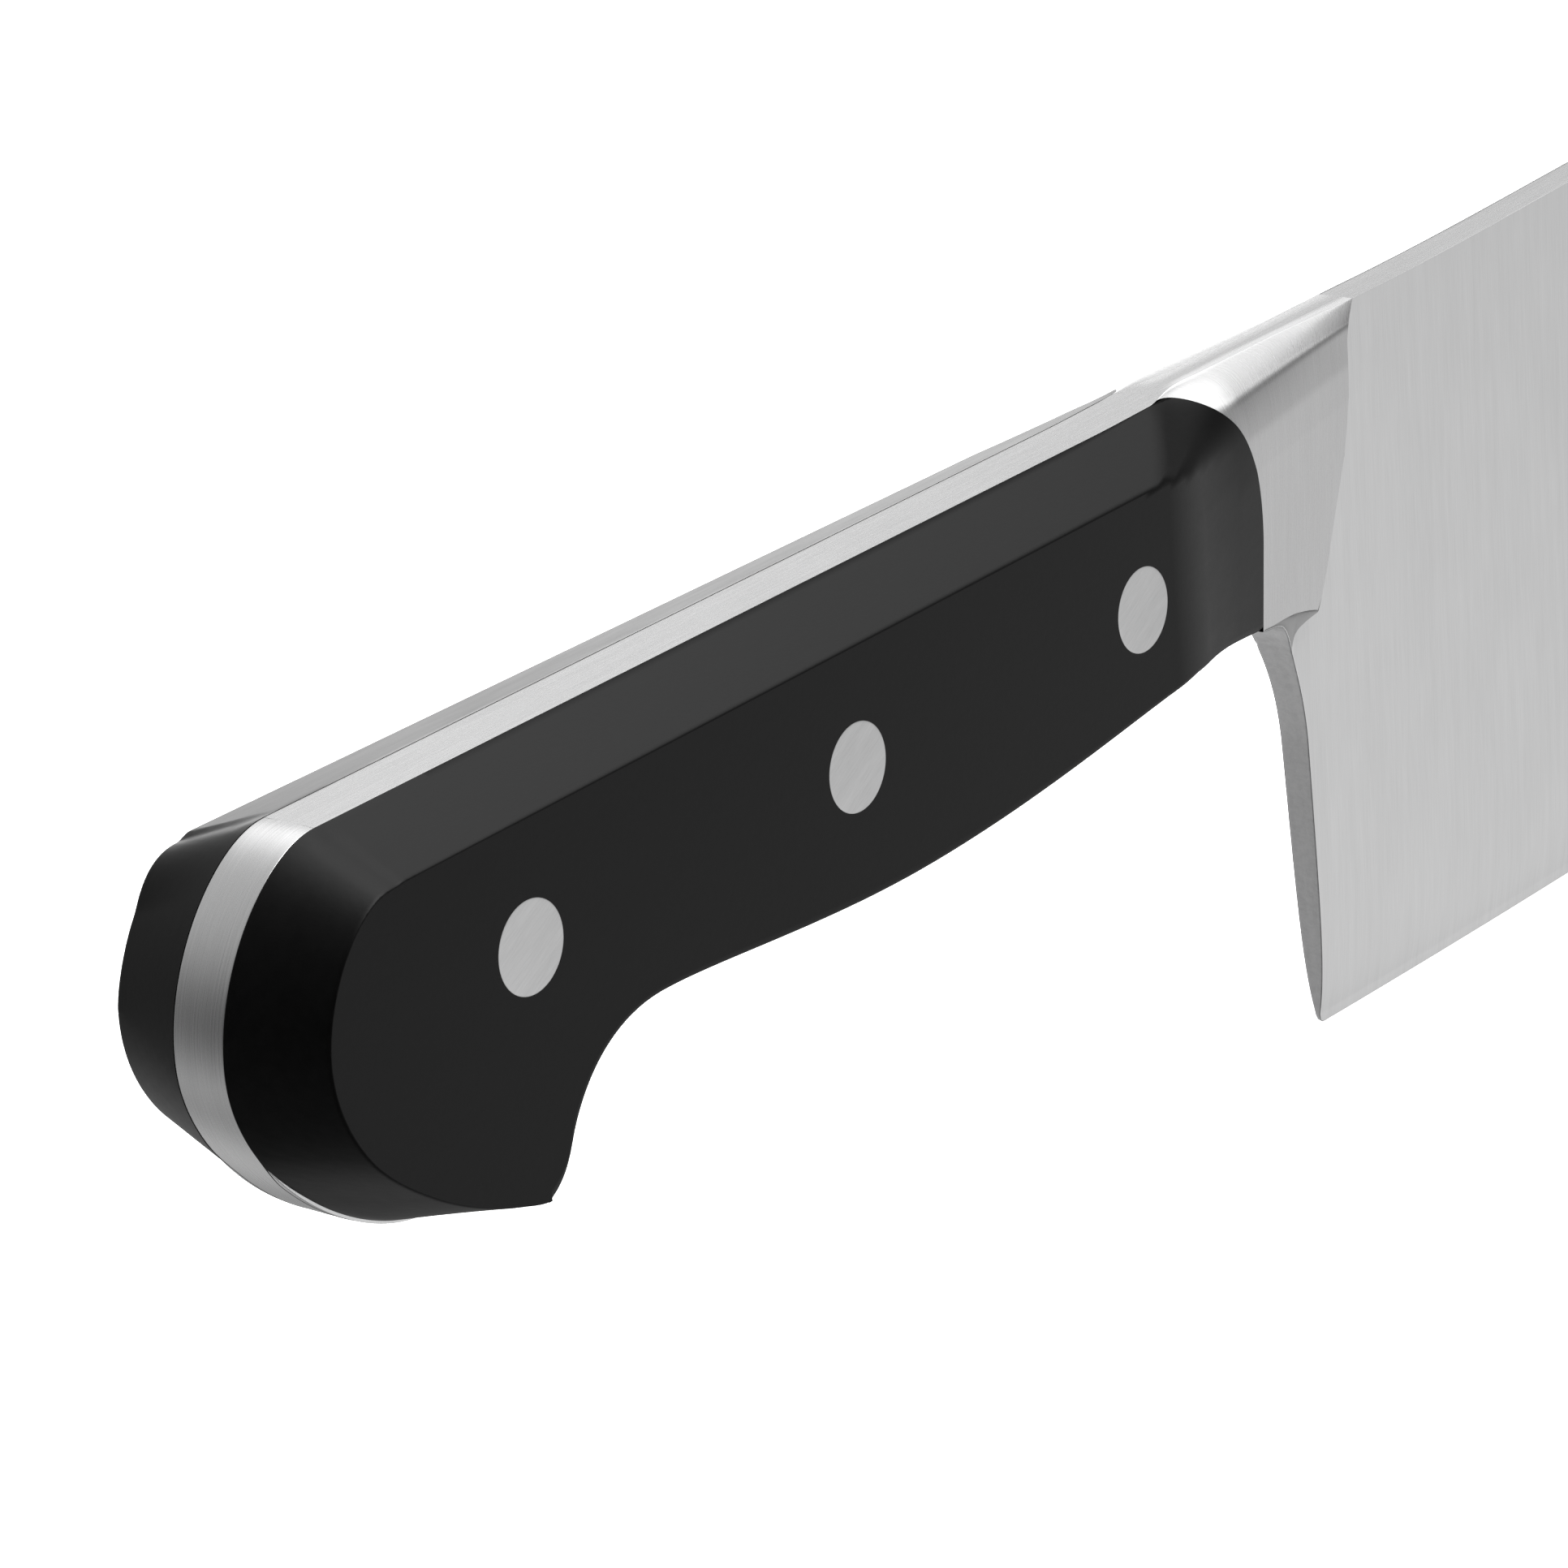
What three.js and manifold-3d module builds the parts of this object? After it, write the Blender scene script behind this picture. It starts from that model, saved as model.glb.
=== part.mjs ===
// Forged full-tang chef's knife with a wide blade, half bolster and riveted scales.
// Millimetres. +X runs from the butt to the tip, +Z is the spine, the edge points down.
// The mid-plane of the blade and tang is y = 0; the right-hand scale lies on the -Y side.
// Outlines are drawn in a working frame whose origin is the axis of the rear rivet;
// the finished pieces are moved so that the origin is the middle of the footprint,
// on the plane that touches the lowest point of the edge.
import * as THREE from 'three';
import { mergeVertices } from 'three/addons/utils/BufferGeometryUtils.js';
import Module from 'manifold-3d';

const wasm = await Module();
wasm.setup();

// ---- rivets -------------------------------------------------------------------
const RIVET_PITCH = 35;
const RIVET_X = [0, RIVET_PITCH, 2 * RIVET_PITCH];
const HEAD_RADIUS = 3.25;
const HEAD_THICKNESS = 2.4;
const BARREL_RADIUS = 2.3;
const BORE_RADIUS = 1.6;
const PIN_RADIUS = 1.55;
const BARREL_END_GAP = 0.4;
const BORE_FLOOR_GAP = 0.8;
const PIN_END_GAP = 1.6;
const RADIAL_CLEARANCE = 0.05;
const ROUND_SEGMENTS = 32;

// ---- tang, butt and scales ----------------------------------------------------
const RIGHT_BEVEL = { low: 1, high: 1 };
const LEFT_BEVEL = { low: 1, high: 1.35 };
const BEVEL_SPAN = [-12, 6];
const TANG_HALF = 2.15;
const SIDE_HALF_AT_REAR_RIVET = 9.27;
const SIDE_TAPER = 0.0088;
const CHAMFER_EDGE_Z = 8.6;
const TOP_Z_AT_REAR_RIVET = 10.92;
const TOP_RISE = 0.0038;
const TOP_SWELL = 0.3;
const TOP_SWELL_SPAN = [73.5, 92];
const BUTT_TOP_X = -10.9;
const BEAK_X = -0.6;
const BEAK_Z = -17.65;
const SCALE_FRONT_X = 92.7;
const SCALE_ARC_START_Z = -3;
const SCALE_ARC_END_X = 84.2;
const SCALE_FRONT_BOTTOM_Z = -9.8;
const FRONT_SEAM = 0.05;
const ARC_POINTS = 12;

// ---- front taper and bolster --------------------------------------------------
const FACET_X = 73.5;
const FACET_SLOPE_X = 0.266;
const FACET_SLOPE_Z = 1.48;
const TAPER_X = 77;
const TAPER_BLEND = 1.2;
const FACET_BLEND = [0.1, 4];
const FACET_END_X = 89;
const CREASE_X = 110;
const CREASE_HALF = 1.45;
const BOLSTER_SLOPE = 0.18;
const BOLSTER_LENGTH = 22;
const HOLLOW_CURVE = 0.0099;
const LOWER_TILT = 0.067;
const LOWER_TILT_TOP_Z = 3.6;
const LOWER_TILT_END_Z = -13;
const ROUNDOVER_Z = 4.2;
const ROUNDOVER_POWER = 2.9;
const CREST_HALF = 1.2;
const BOLSTER_BLEND = [82, 90];
const BOLSTER_BOTTOM = [[92.7, -9.9], [96, -10.25], [99.8, -10.7], [103.8, -12]];
const FRONT_STATIONS = [FACET_X, 75, 77, 79.5, BOLSTER_BLEND[0], 84.5, 87, 89.5, 92.5, 96.5];
const BOLSTER_STATIONS = [101, 106, 112];
const ENVELOPE_LEVELS = [-30, -13, LOWER_TILT_TOP_Z, 5.5, 7, 8, CHAMFER_EDGE_Z, 9.3, 10, 10.5];
const CREST_STEP = 0.25;

// ---- blade --------------------------------------------------------------------
const HEEL_X = 103;
const HEEL_Z = -47.4;
const TIP_X = 333;
const TIP_Z = -12;
const EDGE_LOW = [162, -48.95];
const SPINE_RISE_X = 114;
const SPINE_HIGH = [178, 13.3];
const SPINE_FALL_POWER = 2.1;
const EDGE_RISE_POWER = 1.6;
const EDGE_FALL_POWER = 2.6;
const TIP_HALF_HEIGHT = 0.4;
const EDGE_HALF = 0.1;
const WEDGE_HALF = 1.07;
const WEDGE_HEIGHT = 4.06;
const FACE_SLOPE = 0.0085;
const TIP_THINNING = 0.45;
const FULL_HEIGHT = 60;
const FACE_LEVELS = [0, 1.4, 3.4, 7.5, 15, FULL_HEIGHT];
const BLADE_STATIONS = [
  90, 104, 114, 128, 145, 162, 178, 192, 208, 228, 250, 270, 287, 301, 312, 321, 327, 331, 333,
];

// ---- cutting blocks, larger than the knife ------------------------------------
const CUT_HALF = 12;
const CUT_REAR_X = -30;
const CUT_FRONT_X = 340;
const CUT_LOW_Z = -60;
const CUT_HIGH_Z = 40;

// ---- small helpers ------------------------------------------------------------
const lerp = (a, b, t) => a + (b - a) * t;
const clamp01 = (t) => Math.min(1, Math.max(0, t));
const smoothstep = (a, b, x) => {
  const t = clamp01((x - a) / (b - a));
  return t * t * (3 - 2 * t);
};

function smoothMin(a, b, width) {
  const h = Math.max(width - Math.abs(a - b), 0) / width;
  return Math.min(a, b) - h * h * width * 0.25;
}

// ---- half thickness of the handle and bolster at a point of the side view -----
const topZ = (x) => TOP_Z_AT_REAR_RIVET + TOP_RISE * x + TOP_SWELL * smoothstep(...TOP_SWELL_SPAN, x);
const sideHalf = (x) => SIDE_HALF_AT_REAR_RIVET - SIDE_TAPER * x;

function roofHalf(x, z) {
  const slope = (sideHalf(x) - TANG_HALF) / (topZ(x) - CHAMFER_EDGE_Z);
  return TANG_HALF + (topZ(x) - z) * slope;
}

function taperHalf(x, z) {
  const behind = CREASE_X - x;
  const hollow = Math.max(0, behind - BOLSTER_LENGTH);
  const plan = CREASE_HALF + BOLSTER_SLOPE * behind + HOLLOW_CURVE * hollow * hollow;
  const tilt = LOWER_TILT * Math.max(0, LOWER_TILT_TOP_Z - Math.max(z, LOWER_TILT_END_Z));
  return plan - tilt * smoothstep(TAPER_X, SCALE_FRONT_X, x);
}

// Only the right-hand side has the facet that cuts across the upper front corner.
function handleHalf(x, z, hasFacet) {
  const side = smoothMin(sideHalf(x), taperHalf(x, z), TAPER_BLEND);
  const roof = roofHalf(x, z);
  if (x < FACET_X || !hasFacet) return Math.min(side, roof);
  const blendWidth = lerp(...FACET_BLEND, smoothstep(FACET_X, FACET_END_X, x));
  const facet = sideHalf(FACET_X) - FACET_SLOPE_X * (x - FACET_X) - FACET_SLOPE_Z * (z - CHAMFER_EDGE_Z);
  return smoothMin(smoothMin(side, facet, blendWidth), roof, blendWidth * 0.3);
}

function bolsterHalf(x, z) {
  const rise = clamp01((z - ROUNDOVER_Z) / (topZ(x) - ROUNDOVER_Z));
  const round = Math.pow(1 - Math.pow(rise, ROUNDOVER_POWER), 1 / ROUNDOVER_POWER);
  return taperHalf(x, z) * round;
}

function envelopeHalf(x, z, hasFacet) {
  const t = smoothstep(...BOLSTER_BLEND, x);
  return Math.max(CREST_HALF, lerp(handleHalf(x, z, hasFacet), bolsterHalf(x, z), t));
}

// ---- side-view outlines -------------------------------------------------------
// Butt outline of the tang, from the beak round to the top rear corner.
function buttOutline() {
  const path = new THREE.Path();
  path.moveTo(BEAK_X, BEAK_Z);
  path.bezierCurveTo(-2, -18.0, -3.4, -18.2, -4.9, -18.2);
  path.bezierCurveTo(-11, -18.2, -21.3, -10, -21.3, -2.2);
  path.bezierCurveTo(-21.3, 4.6, -15.6, topZ(BUTT_TOP_X), BUTT_TOP_X, topZ(BUTT_TOP_X));
  return path.getPoints(9);
}

// Outline of the flat side face at the butt, matched point for point to the tang outline.
function flatFaceButtOutline() {
  const path = new THREE.Path();
  path.moveTo(BEAK_X, BEAK_Z);
  path.bezierCurveTo(-1.5, -17.55, -2.2, -17.4, -3.15, -17.1);
  path.bezierCurveTo(-11.5, -14.6, -19.3, -8.2, -19.3, -1);
  path.bezierCurveTo(-19.3, 3.2, -15.8, CHAMFER_EDGE_Z, -11.7, CHAMFER_EDGE_Z);
  return path.getPoints(9);
}

// Underside of the handle, from the lower front corner back to the beak.
function bellyOutline() {
  const path = new THREE.Path();
  path.moveTo(SCALE_FRONT_X, SCALE_FRONT_BOTTOM_Z);
  path.bezierCurveTo(89, -9.3, 83, -7.9, 77.5, -7.5);
  path.bezierCurveTo(72, -7.5, 58, -10, 42, -10);
  path.bezierCurveTo(30, -10, 18.5, -8, 12.5, -8);
  path.bezierCurveTo(7.2, -8, 4, -10.9, 2.4, -14.2);
  path.bezierCurveTo(1.9, -15.3, 1.2, -16.9, BEAK_X, BEAK_Z);
  return path.getPoints(7);
}

// Rounded upper front corner of a scale, from the front edge up to the top line.
function scaleFrontArc(seam) {
  const front = SCALE_FRONT_X - seam;
  const end = SCALE_ARC_END_X - seam;
  const path = new THREE.Path();
  path.moveTo(front, SCALE_ARC_START_Z);
  path.bezierCurveTo(front, 2.4, front - 1.8, 8.2, end, topZ(SCALE_ARC_END_X));
  return path.getPoints(ARC_POINTS);
}

// Cove from the underside of the bolster into the choil, then down to the heel.
function choilOutline() {
  const path = new THREE.Path();
  path.moveTo(...BOLSTER_BOTTOM[0]);
  path.bezierCurveTo(95.7, -10.2, 98.4, -11.2, 99.2, -13.2);
  path.bezierCurveTo(100.3, -16, 101.3, -18.5, 101.6, -22.5);
  path.lineTo(HEEL_X - 0.3, HEEL_Z + 0.8);
  path.lineTo(HEEL_X + 0.3, HEEL_Z);
  return path.getPoints(7);
}

function spineZ(x) {
  if (x < SPINE_RISE_X) return topZ(x);
  if (x < SPINE_HIGH[0]) {
    return lerp(topZ(SPINE_RISE_X), SPINE_HIGH[1], smoothstep(SPINE_RISE_X, SPINE_HIGH[0], x));
  }
  const fall = (x - SPINE_HIGH[0]) / (TIP_X - SPINE_HIGH[0]);
  return lerp(SPINE_HIGH[1], TIP_Z + TIP_HALF_HEIGHT, Math.pow(fall, SPINE_FALL_POWER));
}

function edgeZ(x) {
  if (x < EDGE_LOW[0]) {
    const t = (EDGE_LOW[0] - x) / (EDGE_LOW[0] - HEEL_X);
    return lerp(EDGE_LOW[1], HEEL_Z, Math.pow(t, EDGE_RISE_POWER));
  }
  const t = (x - EDGE_LOW[0]) / (TIP_X - EDGE_LOW[0]);
  return lerp(EDGE_LOW[1], TIP_Z - TIP_HALF_HEIGHT, Math.pow(t, EDGE_FALL_POWER));
}

// Half thickness of the blade at a height above the edge.
function bladeHalf(x, height) {
  const wedge = WEDGE_HALF * (1 - Math.exp(-height / WEDGE_HEIGHT)) + FACE_SLOPE * height;
  const thinning = lerp(1, TIP_THINNING, clamp01((x - CREASE_X) / (TIP_X - CREASE_X)));
  return EDGE_HALF + (wedge - EDGE_HALF * clamp01(height)) * thinning;
}

// ---- solids -------------------------------------------------------------------
function solidFromArrays(points, triangles) {
  const mesh = new wasm.Mesh({
    numProp: 3,
    vertProperties: new Float32Array(points.flat()),
    triVerts: new Uint32Array(triangles.flat()),
  });
  const solid = new wasm.Manifold(mesh);
  if (solid.volume() > 0) return solid;
  return new wasm.Manifold(new wasm.Mesh({
    numProp: 3,
    vertProperties: new Float32Array(points.flat()),
    triVerts: new Uint32Array(triangles.map(([a, b, c]) => [a, c, b]).flat()),
  }));
}

// Skin through matching rings. The cap function returns triangles of ring
// positions that run in the same sense as the ring.
function loft(rings, capTriangles) {
  const count = rings[0].length;
  const last = (rings.length - 1) * count;
  const triangles = [];
  for (let r = 0; r + 1 < rings.length; r += 1) {
    for (let i = 0; i < count; i += 1) {
      const a = r * count + i;
      const b = r * count + ((i + 1) % count);
      triangles.push([a, b, b + count], [a, b + count, a + count]);
    }
  }
  for (const [a, b, c] of capTriangles(rings[0])) {
    triangles.push([a, c, b], [last + a, last + b, last + c]);
  }
  return solidFromArrays(rings.flat(), triangles);
}

// Caps of a side-view ring, whose points share one y.
function sideViewCap(ring) {
  const flat = ring.map((p) => new THREE.Vector2(p[0], p[2]));
  const sense = THREE.ShapeUtils.isClockWise(flat);
  return THREE.ShapeUtils.triangulateShape(flat, []).map(([a, b, c]) => {
    const matches = THREE.ShapeUtils.isClockWise([flat[a], flat[b], flat[c]]) === sense;
    return matches ? [a, b, c] : [a, c, b];
  });
}

// Caps of a section ring that goes up one side and down the other: rungs across it.
function mirroredCap(ring) {
  const triangles = [];
  for (let i = 0; i + 1 < ring.length / 2; i += 1) {
    const j = ring.length - 1 - i;
    triangles.push([i, i + 1, j - 1], [i, j - 1, j]);
  }
  return triangles;
}

// Slab with a side-view outline, between two y values.
function slab(outline, yFrom, yTo) {
  const ring = (y) => outline.map((p) => [p.x ?? p[0], y, p.y ?? p[1]]);
  return loft([ring(yFrom), ring(yTo)], sideViewCap);
}

// Round bar along y.
function bar(x, radius, yFrom, yTo) {
  const length = Math.abs(yTo - yFrom);
  const geometry = new THREE.CylinderGeometry(radius, radius, length, ROUND_SEGMENTS);
  geometry.translate(x, (yFrom + yTo) / 2, 0);
  return solidFromGeometry(geometry);
}

function solidFromGeometry(geometry) {
  geometry.deleteAttribute('normal');
  geometry.deleteAttribute('uv');
  const merged = mergeVertices(geometry, 1e-5);
  return new wasm.Manifold(new wasm.Mesh({
    numProp: 3,
    vertProperties: new Float32Array(merged.attributes.position.array),
    triVerts: new Uint32Array(merged.index.array),
  }));
}

// Everything inside the ground surfaces of the handle and bolster.
function envelopeSolid() {
  const stations = [CUT_REAR_X, ...FRONT_STATIONS, ...BOLSTER_STATIONS];
  const rings = stations.map((x) => {
    const heights = [...ENVELOPE_LEVELS, topZ(x) - CREST_STEP, topZ(x)];
    const right = heights.map((z) => [x, -envelopeHalf(x, z, true), z]);
    const left = heights.map((z) => [x, envelopeHalf(x, z, false), z]).reverse();
    return [...right, ...left];
  });
  return loft(rings, mirroredCap);
}

// Space left by the bevel round the butt, on the +Y side; a larger factor grinds the
// flat side face further in, and may differ between the beak and the top corner.
function buttBevelSolid(width) {
  const tang = buttOutline();
  const flat = flatFaceButtOutline();
  const inner = tang.map((p) => [p.x, TANG_HALF, p.y]);
  const outer = tang.map((p, i) => {
    const factor = lerp(width.low, width.high, smoothstep(BEVEL_SPAN[0], BEVEL_SPAN[1], p.y));
    const t = (factor * (CUT_HALF - TANG_HALF)) / (sideHalf(flat[i].x) - TANG_HALF);
    return [lerp(p.x, flat[i].x, t), CUT_HALF, lerp(p.y, flat[i].y, t)];
  });
  const close = (ring, y) => {
    const end = ring[ring.length - 1];
    const start = ring[0];
    return [
      ...ring,
      [end[0], y, CUT_HIGH_Z],
      [CUT_FRONT_X, y, CUT_HIGH_Z],
      [CUT_FRONT_X, y, CUT_LOW_Z],
      [start[0], y, CUT_LOW_Z],
    ];
  };
  return loft([close(inner, TANG_HALF), close(outer, CUT_HALF)], sideViewCap);
}

// Side view of a scale without the butt, which the bevel solid supplies.
function scaleOutline(seam) {
  const belly = bellyOutline();
  belly[0] = new THREE.Vector2(SCALE_FRONT_X - seam, SCALE_FRONT_BOTTOM_Z);
  const arc = scaleFrontArc(seam).reverse();
  const topCorner = arc[0];
  return [
    ...belly,
    new THREE.Vector2(BEAK_X, CUT_LOW_Z),
    new THREE.Vector2(CUT_REAR_X, CUT_LOW_Z),
    new THREE.Vector2(CUT_REAR_X, CUT_HIGH_Z),
    new THREE.Vector2(topCorner.x, CUT_HIGH_Z),
    ...arc,
  ];
}

function scaleSolid(envelope, bevelWidth) {
  let scale = slab(scaleOutline(FRONT_SEAM), TANG_HALF, CUT_HALF);
  scale = scale.intersect(buttBevelSolid(bevelWidth)).intersect(envelope);
  for (const x of RIVET_X) {
    const seat = sideHalf(x) - HEAD_THICKNESS;
    scale = scale.subtract(bar(x, BARREL_RADIUS + RADIAL_CLEARANCE, 0, CUT_HALF));
    scale = scale.subtract(bar(x, HEAD_RADIUS + RADIAL_CLEARANCE, seat, CUT_HALF));
  }
  return scale;
}

// The front end of the tang narrows with the crest of the bolster.
function tangSolid(envelope) {
  const top = FRONT_STATIONS.map((x) => new THREE.Vector2(x, topZ(x)));
  const frontX = FRONT_STATIONS[FRONT_STATIONS.length - 1];
  const outline = [
    ...buttOutline(),
    ...top,
    new THREE.Vector2(frontX, BOLSTER_BOTTOM[0][1]),
    ...bellyOutline().slice(0, -1),
  ];
  const tang = slab(outline, -TANG_HALF, TANG_HALF);
  const rear = tang.trimByPlane([-1, 0, 0], -BOLSTER_BLEND[0]);
  return tang.trimByPlane([1, 0, 0], BOLSTER_BLEND[0]).intersect(envelope).add(rear);
}

function bolsterSolid(envelope) {
  const arc = scaleFrontArc(0).reverse();
  const frontX = BOLSTER_STATIONS[BOLSTER_STATIONS.length - 1];
  const bottomZ = BOLSTER_BOTTOM[BOLSTER_BOTTOM.length - 1][1];
  const outline = [
    ...BOLSTER_BOTTOM,
    [frontX, bottomZ],
    [frontX, CUT_HIGH_Z],
    [SCALE_ARC_END_X, CUT_HIGH_Z],
    ...arc,
  ];
  return slab(outline, -CUT_HALF, CUT_HALF).intersect(envelope);
}

function bladeSolid() {
  const rings = BLADE_STATIONS.map((x) => {
    const low = edgeZ(x);
    const high = spineZ(x);
    const heights = FACE_LEVELS.map((level) => ((high - low) * level) / FULL_HEIGHT);
    const right = heights.map((height) => [x, -bladeHalf(x, height), low + height]);
    const left = right.map(([px, y, z]) => [px, -y, z]).reverse();
    return [...right, ...left];
  });
  const outline = [
    ...choilOutline(),
    [HEEL_X + 2, CUT_LOW_Z],
    [CUT_FRONT_X, CUT_LOW_Z],
    [CUT_FRONT_X, CUT_HIGH_Z],
    [SCALE_FRONT_X, CUT_HIGH_Z],
  ];
  return loft(rings, mirroredCap).intersect(slab(outline, -CUT_HALF, CUT_HALF));
}

function forgingSolid(envelope) {
  let forging = tangSolid(envelope).add(bolsterSolid(envelope)).add(bladeSolid());
  for (const x of RIVET_X) {
    forging = forging.subtract(bar(x, BARREL_RADIUS + RADIAL_CLEARANCE, -CUT_HALF, CUT_HALF));
  }
  return forging;
}

// Hollow half of a cutler's rivet: head on the right side, barrel through the tang.
function femaleRivetSolid(x) {
  const face = -sideHalf(x);
  const barrelEnd = -face - HEAD_THICKNESS - BARREL_END_GAP;
  const head = bar(x, HEAD_RADIUS, face, face + HEAD_THICKNESS);
  const barrel = bar(x, BARREL_RADIUS, face + HEAD_THICKNESS / 2, barrelEnd);
  const bore = bar(x, BORE_RADIUS, face + HEAD_THICKNESS + BORE_FLOOR_GAP, barrelEnd + 2);
  return head.add(barrel).subtract(bore);
}

// Solid half: head on the left side, pin pressed into the barrel.
function maleRivetSolid(x) {
  const face = sideHalf(x);
  const pinEnd = -face + HEAD_THICKNESS + PIN_END_GAP;
  const head = bar(x, HEAD_RADIUS, face - HEAD_THICKNESS, face);
  return head.add(bar(x, PIN_RADIUS, pinEnd, face - HEAD_THICKNESS / 2));
}

// ---- pieces -------------------------------------------------------------------
const FRAME_X = -(TIP_X - 21.3) / 2;
const FRAME_Z = -EDGE_LOW[1];

function pieceMesh(name, solid, material) {
  const data = solid.getMesh();
  const geometry = new THREE.BufferGeometry();
  const positions = new Float32Array(data.numVert * 3);
  for (let i = 0; i < data.numVert; i += 1) {
    for (let k = 0; k < 3; k += 1) {
      positions[i * 3 + k] = data.vertProperties[i * data.numProp + k];
    }
  }
  geometry.setAttribute('position', new THREE.BufferAttribute(positions, 3));
  geometry.setIndex([...data.triVerts]);
  geometry.translate(FRAME_X, 0, FRAME_Z);
  geometry.computeVertexNormals();
  const mesh = new THREE.Mesh(geometry, new THREE.MeshStandardMaterial(material));
  mesh.name = name;
  return mesh;
}

const BRUSHED_STEEL = { color: 0xc4c5c6, roughness: 0.32, metalness: 1 };
const RIVET_STEEL = { color: 0xb4b5b6, roughness: 0.38, metalness: 1 };
const BLACK_PLASTIC = { color: 0x1b1b1c, roughness: 0.45, metalness: 0 };

const knife = new THREE.Group();
knife.name = 'chef_knife';

const envelope = envelopeSolid();
const leftScale = scaleSolid(envelope, LEFT_BEVEL);
const rightScale = scaleSolid(envelope.mirror([0, 1, 0]), RIGHT_BEVEL).mirror([0, 1, 0]);
knife.add(pieceMesh('blade_bolster_tang', forgingSolid(envelope), BRUSHED_STEEL));
knife.add(pieceMesh('right_scale', rightScale, BLACK_PLASTIC));
knife.add(pieceMesh('left_scale', leftScale, BLACK_PLASTIC));

['rear', 'middle', 'front'].forEach((place, i) => {
  knife.add(pieceMesh(`${place}_rivet_female`, femaleRivetSolid(RIVET_X[i]), RIVET_STEEL));
  knife.add(pieceMesh(`${place}_rivet_male`, maleRivetSolid(RIVET_X[i]), RIVET_STEEL));
});

export default knife;
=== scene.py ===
import math

import bpy
import numpy as np
from mathutils import Matrix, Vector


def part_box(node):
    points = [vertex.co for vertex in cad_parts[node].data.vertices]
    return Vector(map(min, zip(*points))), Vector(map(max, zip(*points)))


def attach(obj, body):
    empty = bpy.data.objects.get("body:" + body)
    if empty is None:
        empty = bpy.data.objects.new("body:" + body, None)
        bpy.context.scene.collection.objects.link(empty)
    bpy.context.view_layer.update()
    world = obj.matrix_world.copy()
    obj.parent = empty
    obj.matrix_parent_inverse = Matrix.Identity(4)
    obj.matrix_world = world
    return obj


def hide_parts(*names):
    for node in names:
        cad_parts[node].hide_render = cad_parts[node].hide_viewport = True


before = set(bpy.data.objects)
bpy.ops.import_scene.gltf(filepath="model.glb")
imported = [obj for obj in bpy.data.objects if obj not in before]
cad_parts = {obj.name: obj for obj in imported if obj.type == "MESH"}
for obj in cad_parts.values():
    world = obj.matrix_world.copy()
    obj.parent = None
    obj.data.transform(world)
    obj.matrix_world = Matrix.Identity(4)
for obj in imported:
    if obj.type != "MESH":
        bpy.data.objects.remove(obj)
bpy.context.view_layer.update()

# The surfaces are worked out in millimetres from the rear rivet's axis: +X to the tip, +Z to
# the spine, -Y to the right-hand side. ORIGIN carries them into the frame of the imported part.
MM_PER_METRE = 1000
rivet_low, rivet_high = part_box("rear_rivet_female")
ORIGIN = np.array([(rivet_low.x + rivet_high.x) / 2, 0.0, (rivet_low.z + rivet_high.z) / 2])
ORIGIN *= MM_PER_METRE

# ---- rivets, in millimetres ----------------------------------------------------------
RIVET_X = (0.0, 35.0, 70.0)
HEAD_RADIUS = 3.25
HEAD_THICKNESS = 2.4
BARREL_RADIUS = 2.3
BORE_RADIUS = 1.6
PIN_RADIUS = 1.55
SHANK_MIDDLE_DEPTH = 8.0
SHANK_END_DEPTH = 14.0
AXIS_RADIUS = 0.001

# ---- handle --------------------------------------------------------------------------
TANG_HALF = 2.15
SIDE_HALF_AT_REAR_RIVET = 9.27
SIDE_TAPER = 0.0088
CHAMFER_EDGE_Z = 8.6
TOP_Z_AT_REAR_RIVET = 10.92
TOP_RISE = 0.0038
TOP_SWELL = 0.3
TOP_SWELL_SPAN = (73.5, 92)
BUTT_TOP_X = -10.9
BEAK = (-0.6, -17.65)
BUTT_CENTRE = (-0.6, -3.5)
GRID_SPLIT_X = 70.0
SCALE_CORNER = (92.7, -9.8)
FRONT_ARC_START = (92.7, -3)
FRONT_ARC_MIDDLE = (88.35, 8.5)
FRONT_END_X = 83.0
BELLY_EASE = 0.45
LEFT_SCALE_GAP = 0.07
INNER_OVERLAP = 0.5

# ---- bevel round the butt ------------------------------------------------------------
RIGHT_BEVEL = 1.0
LEFT_BEVEL = 1.6
BEVEL_SPAN = (-12, 8)
BEVEL_CORNER_Z = 7.4
BEVEL_CORNER_SHARE = 0.27
BEVEL_RUN_OUT = 6
BEVEL_FADE = 2.2
BEVEL_END_FACTOR = 0.5
BEVEL_END_LEAN = -0.8
BEVEL_INSET = 0.1
BEVEL_INSET_SPAN = (-8, -13)
BEVEL_LIMITS = (-0.2, 9)
OFF_BEVEL = 99.0

# ---- facet and bolster ---------------------------------------------------------------
FACET_X = 73.5
FACET_END_X = 89
FACET_SLOPE_X = 0.266
FACET_SLOPE_Z = 1.48
FACET_BLEND = (0.2, 2.6)
FACET_ROOF_SHARE = 0.3
ROOF_BLEND = 0.35
TAPER_X = 77
TAPER_BLEND = 1.2
CREASE_X = 110.0
CREASE_HALF = 1.45
CREASE_TOP_X = 110.7
BOLSTER_SLOPE = 0.18
BOLSTER_LENGTH = 22
HOLLOW_CURVE = 0.0099
LOWER_TILT = 0.067
LOWER_TILT_TOP_Z = 3.6
LOWER_TILT_END_Z = -13
ROUNDOVER_Z = 4.2
ROUNDOVER_POWER = 2.9
CREST_HALF = (1.2, 1.57)
CREST_SPAN = (99, CREASE_TOP_X)
BOLSTER_BLEND = (82, 90)

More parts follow.
